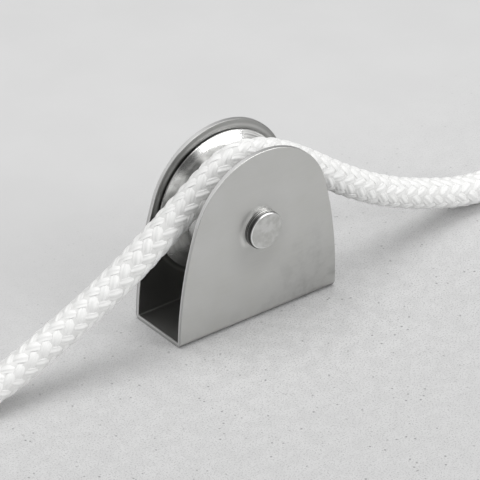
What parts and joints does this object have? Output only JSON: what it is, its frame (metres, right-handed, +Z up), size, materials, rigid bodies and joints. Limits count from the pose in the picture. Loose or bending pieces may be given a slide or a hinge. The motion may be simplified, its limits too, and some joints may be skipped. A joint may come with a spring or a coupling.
{
  "type": "flagpole top pulley",
  "caption": "Small rope pulley: a grooved sheave on a ball bearing turns on a riveted axle in a folded U bracket with rounded cheeks, with a braided rope laid over it.",
  "frame": {"origin": "middle of the underside of the bracket's base", "axes": "+X along the base, the way the rope runs; +Y along the axle, away from the cheek that faces the viewer; +Z up"},
  "size_m": [0.1473, 0.0184, 0.0395],
  "materials": {
    "bracket_sheet": "satin",
    "axle_steel": "turned",
    "sheave_steel": "polished",
    "bearing_steel": "ground",
    "cage_brass": "satin",
    "rope_fibre": "braided"
  },
  "bodies": {
    "frame": {"bracket": "bracket_sheet", "axle": "axle_steel", "spacer_front": "axle_steel", "spacer_back": "axle_steel", "bearing_inner_ring": "bearing_steel", "rope": "rope_fibre"},
    "wheel": {"sheave": "sheave_steel", "bearing_outer_ring": "bearing_steel", "bearing_shield_front": "bearing_steel", "bearing_shield_back": "bearing_steel"},
    "ball_train": {"bearing_balls": "bearing_steel", "ball_cage": "cage_brass"}
  },
  "joints": [
    {"name": "sheave_spin", "type": "hinge", "parent": "frame", "child": "wheel", "pos_m": [0, 0, 0.0216], "axis": [0, 1, 0], "continuous": true},
    {"name": "ball_train_spin", "type": "hinge", "parent": "frame", "child": "ball_train", "pos_m": [0, 0, 0.0216], "axis": [0, 1, 0], "continuous": true}
  ],
  "couplings": [
    {"joint": "ball_train_spin", "follows": "sheave_spin", "ratio": 0.5909}
  ]
}
